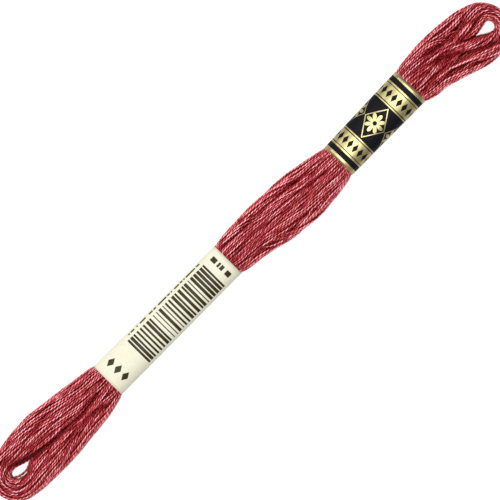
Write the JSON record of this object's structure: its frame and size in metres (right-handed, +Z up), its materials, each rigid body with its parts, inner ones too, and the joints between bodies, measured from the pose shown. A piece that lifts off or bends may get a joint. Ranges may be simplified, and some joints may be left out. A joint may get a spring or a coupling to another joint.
{
  "type": "skein of embroidery floss",
  "caption": "Long hank of red stranded cotton floss, drawn out into two legs that bend round a small eye at each end, held by a cream paper band and a gilt paper band.",
  "frame": {"origin": "on the table, under the middle of the skein's bounding box", "axes": "+X along the skein from the end near the cream band to the end near the gilt band, +Y across it, +Z up from the table"},
  "size_m": [0.1645, 0.0159, 0.0071],
  "materials": {
    "floss": "mercerised two-ply cotton strands in rose red, satin sheen with pink highlights along the twist",
    "cream_paper": "smooth cream paper printed with plain dark olive stripes",
    "gilt_paper": "metallic gilt paper with a satin sheen, printed black at both ends and in the middle"
  },
  "bodies": {
    "root": {"floss": "floss", "cream_band": "cream_paper", "gilt_band": "gilt_paper"}
  },
  "joints": []
}
